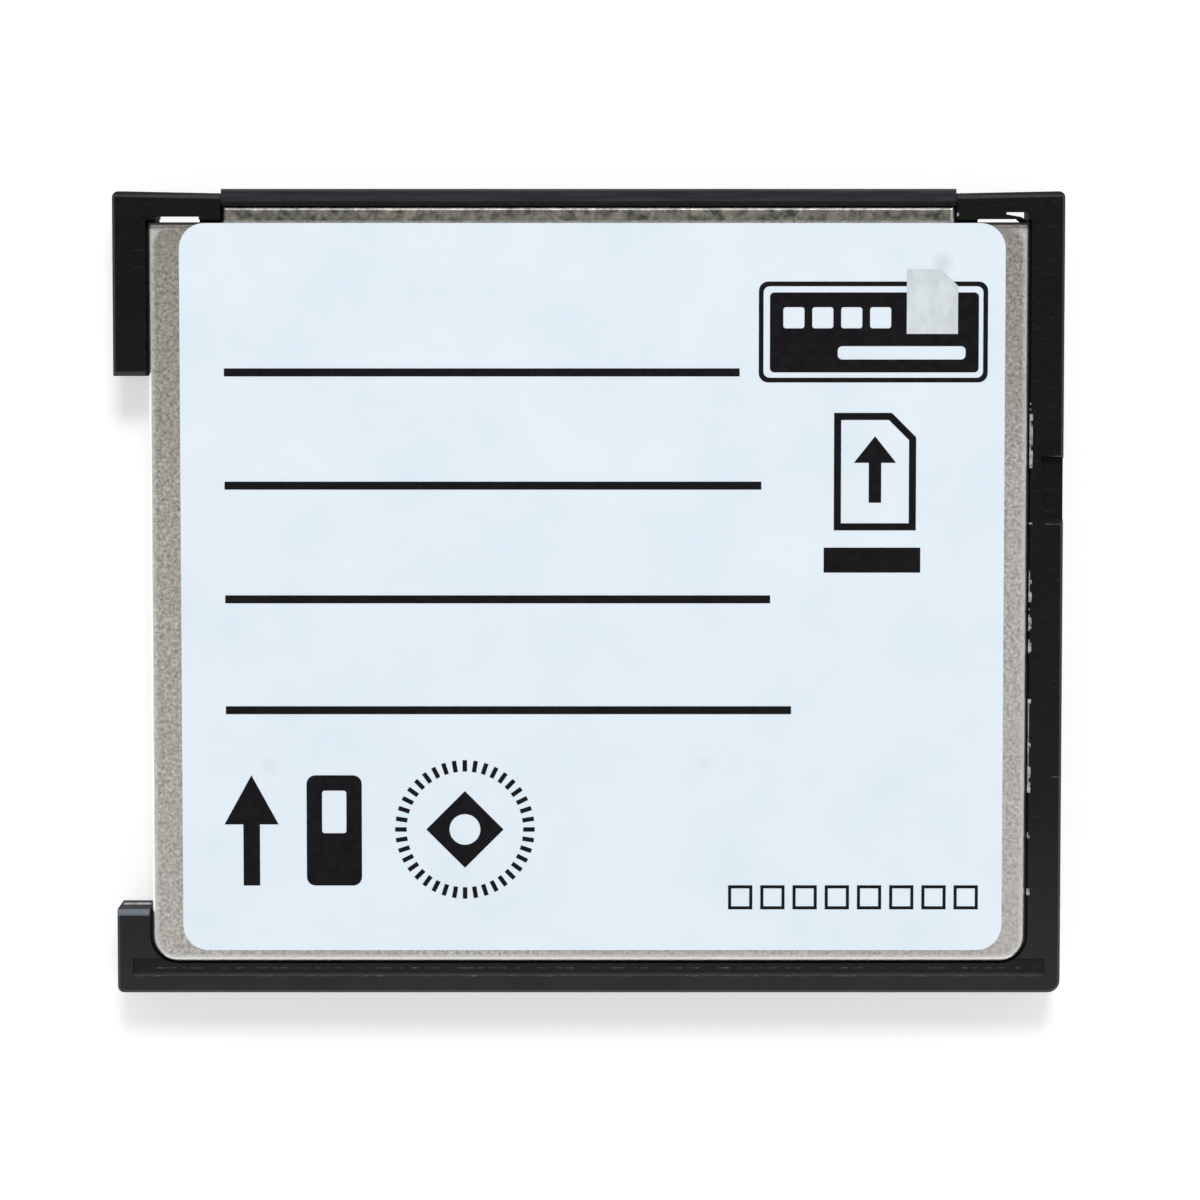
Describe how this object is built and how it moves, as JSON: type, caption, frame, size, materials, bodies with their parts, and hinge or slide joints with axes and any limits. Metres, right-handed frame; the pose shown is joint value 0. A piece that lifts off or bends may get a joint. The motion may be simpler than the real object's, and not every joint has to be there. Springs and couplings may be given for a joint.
{
  "type": "sd to cf adapter",
  "caption": "Flat card-shaped adapter that takes a small memory card in its open side, with a socket connector along one edge, steel covers and a pale label.",
  "frame": {"origin": "centre of the footprint, on the underside", "axes": "+X to the right, away from the small card's slot, +Y to the connector edge, +Z to the label side"},
  "size_m": [0.0428, 0.0364, 0.0033],
  "materials": {
    "moulded_frame": "fine matt moulded, black",
    "connector_moulding": "satin moulded, dark grey",
    "steel_panel": "dull stamped sheet with bright folded edges",
    "label_film": "smooth printed film, very pale blue",
    "contact_metal": "thin gold plating",
    "board_laminate": "solder mask, green",
    "chip_epoxy": "matt moulding compound, black",
    "capacitor_ceramic": "fired ceramic, tan",
    "resistor_ceramic": "glazed ceramic, black",
    "carrier_moulding": "heat-proof moulding, ivory"
  },
  "bodies": {
    "root": {"label_side_frame": "moulded_frame", "plain_side_frame": "moulded_frame", "label_side_panel": "steel_panel", "plain_side_panel": "steel_panel", "label": "label_film", "connector_housing": "connector_moulding", "socket_contacts_upper": "contact_metal", "socket_contacts_lower": "contact_metal", "circuit_board": "board_laminate", "controller_chip": "chip_epoxy", "voltage_regulator": "chip_epoxy", "capacitors": "capacitor_ceramic", "resistors": "resistor_ceramic", "card_contact_carrier": "carrier_moulding", "card_contact_1": "contact_metal", "card_contact_2": "contact_metal", "card_contact_3": "contact_metal", "card_contact_4": "contact_metal", "card_contact_5": "contact_metal", "card_contact_6": "contact_metal", "card_contact_7": "contact_metal", "card_contact_8": "contact_metal", "card_contact_9": "contact_metal"}
  },
  "joints": []
}
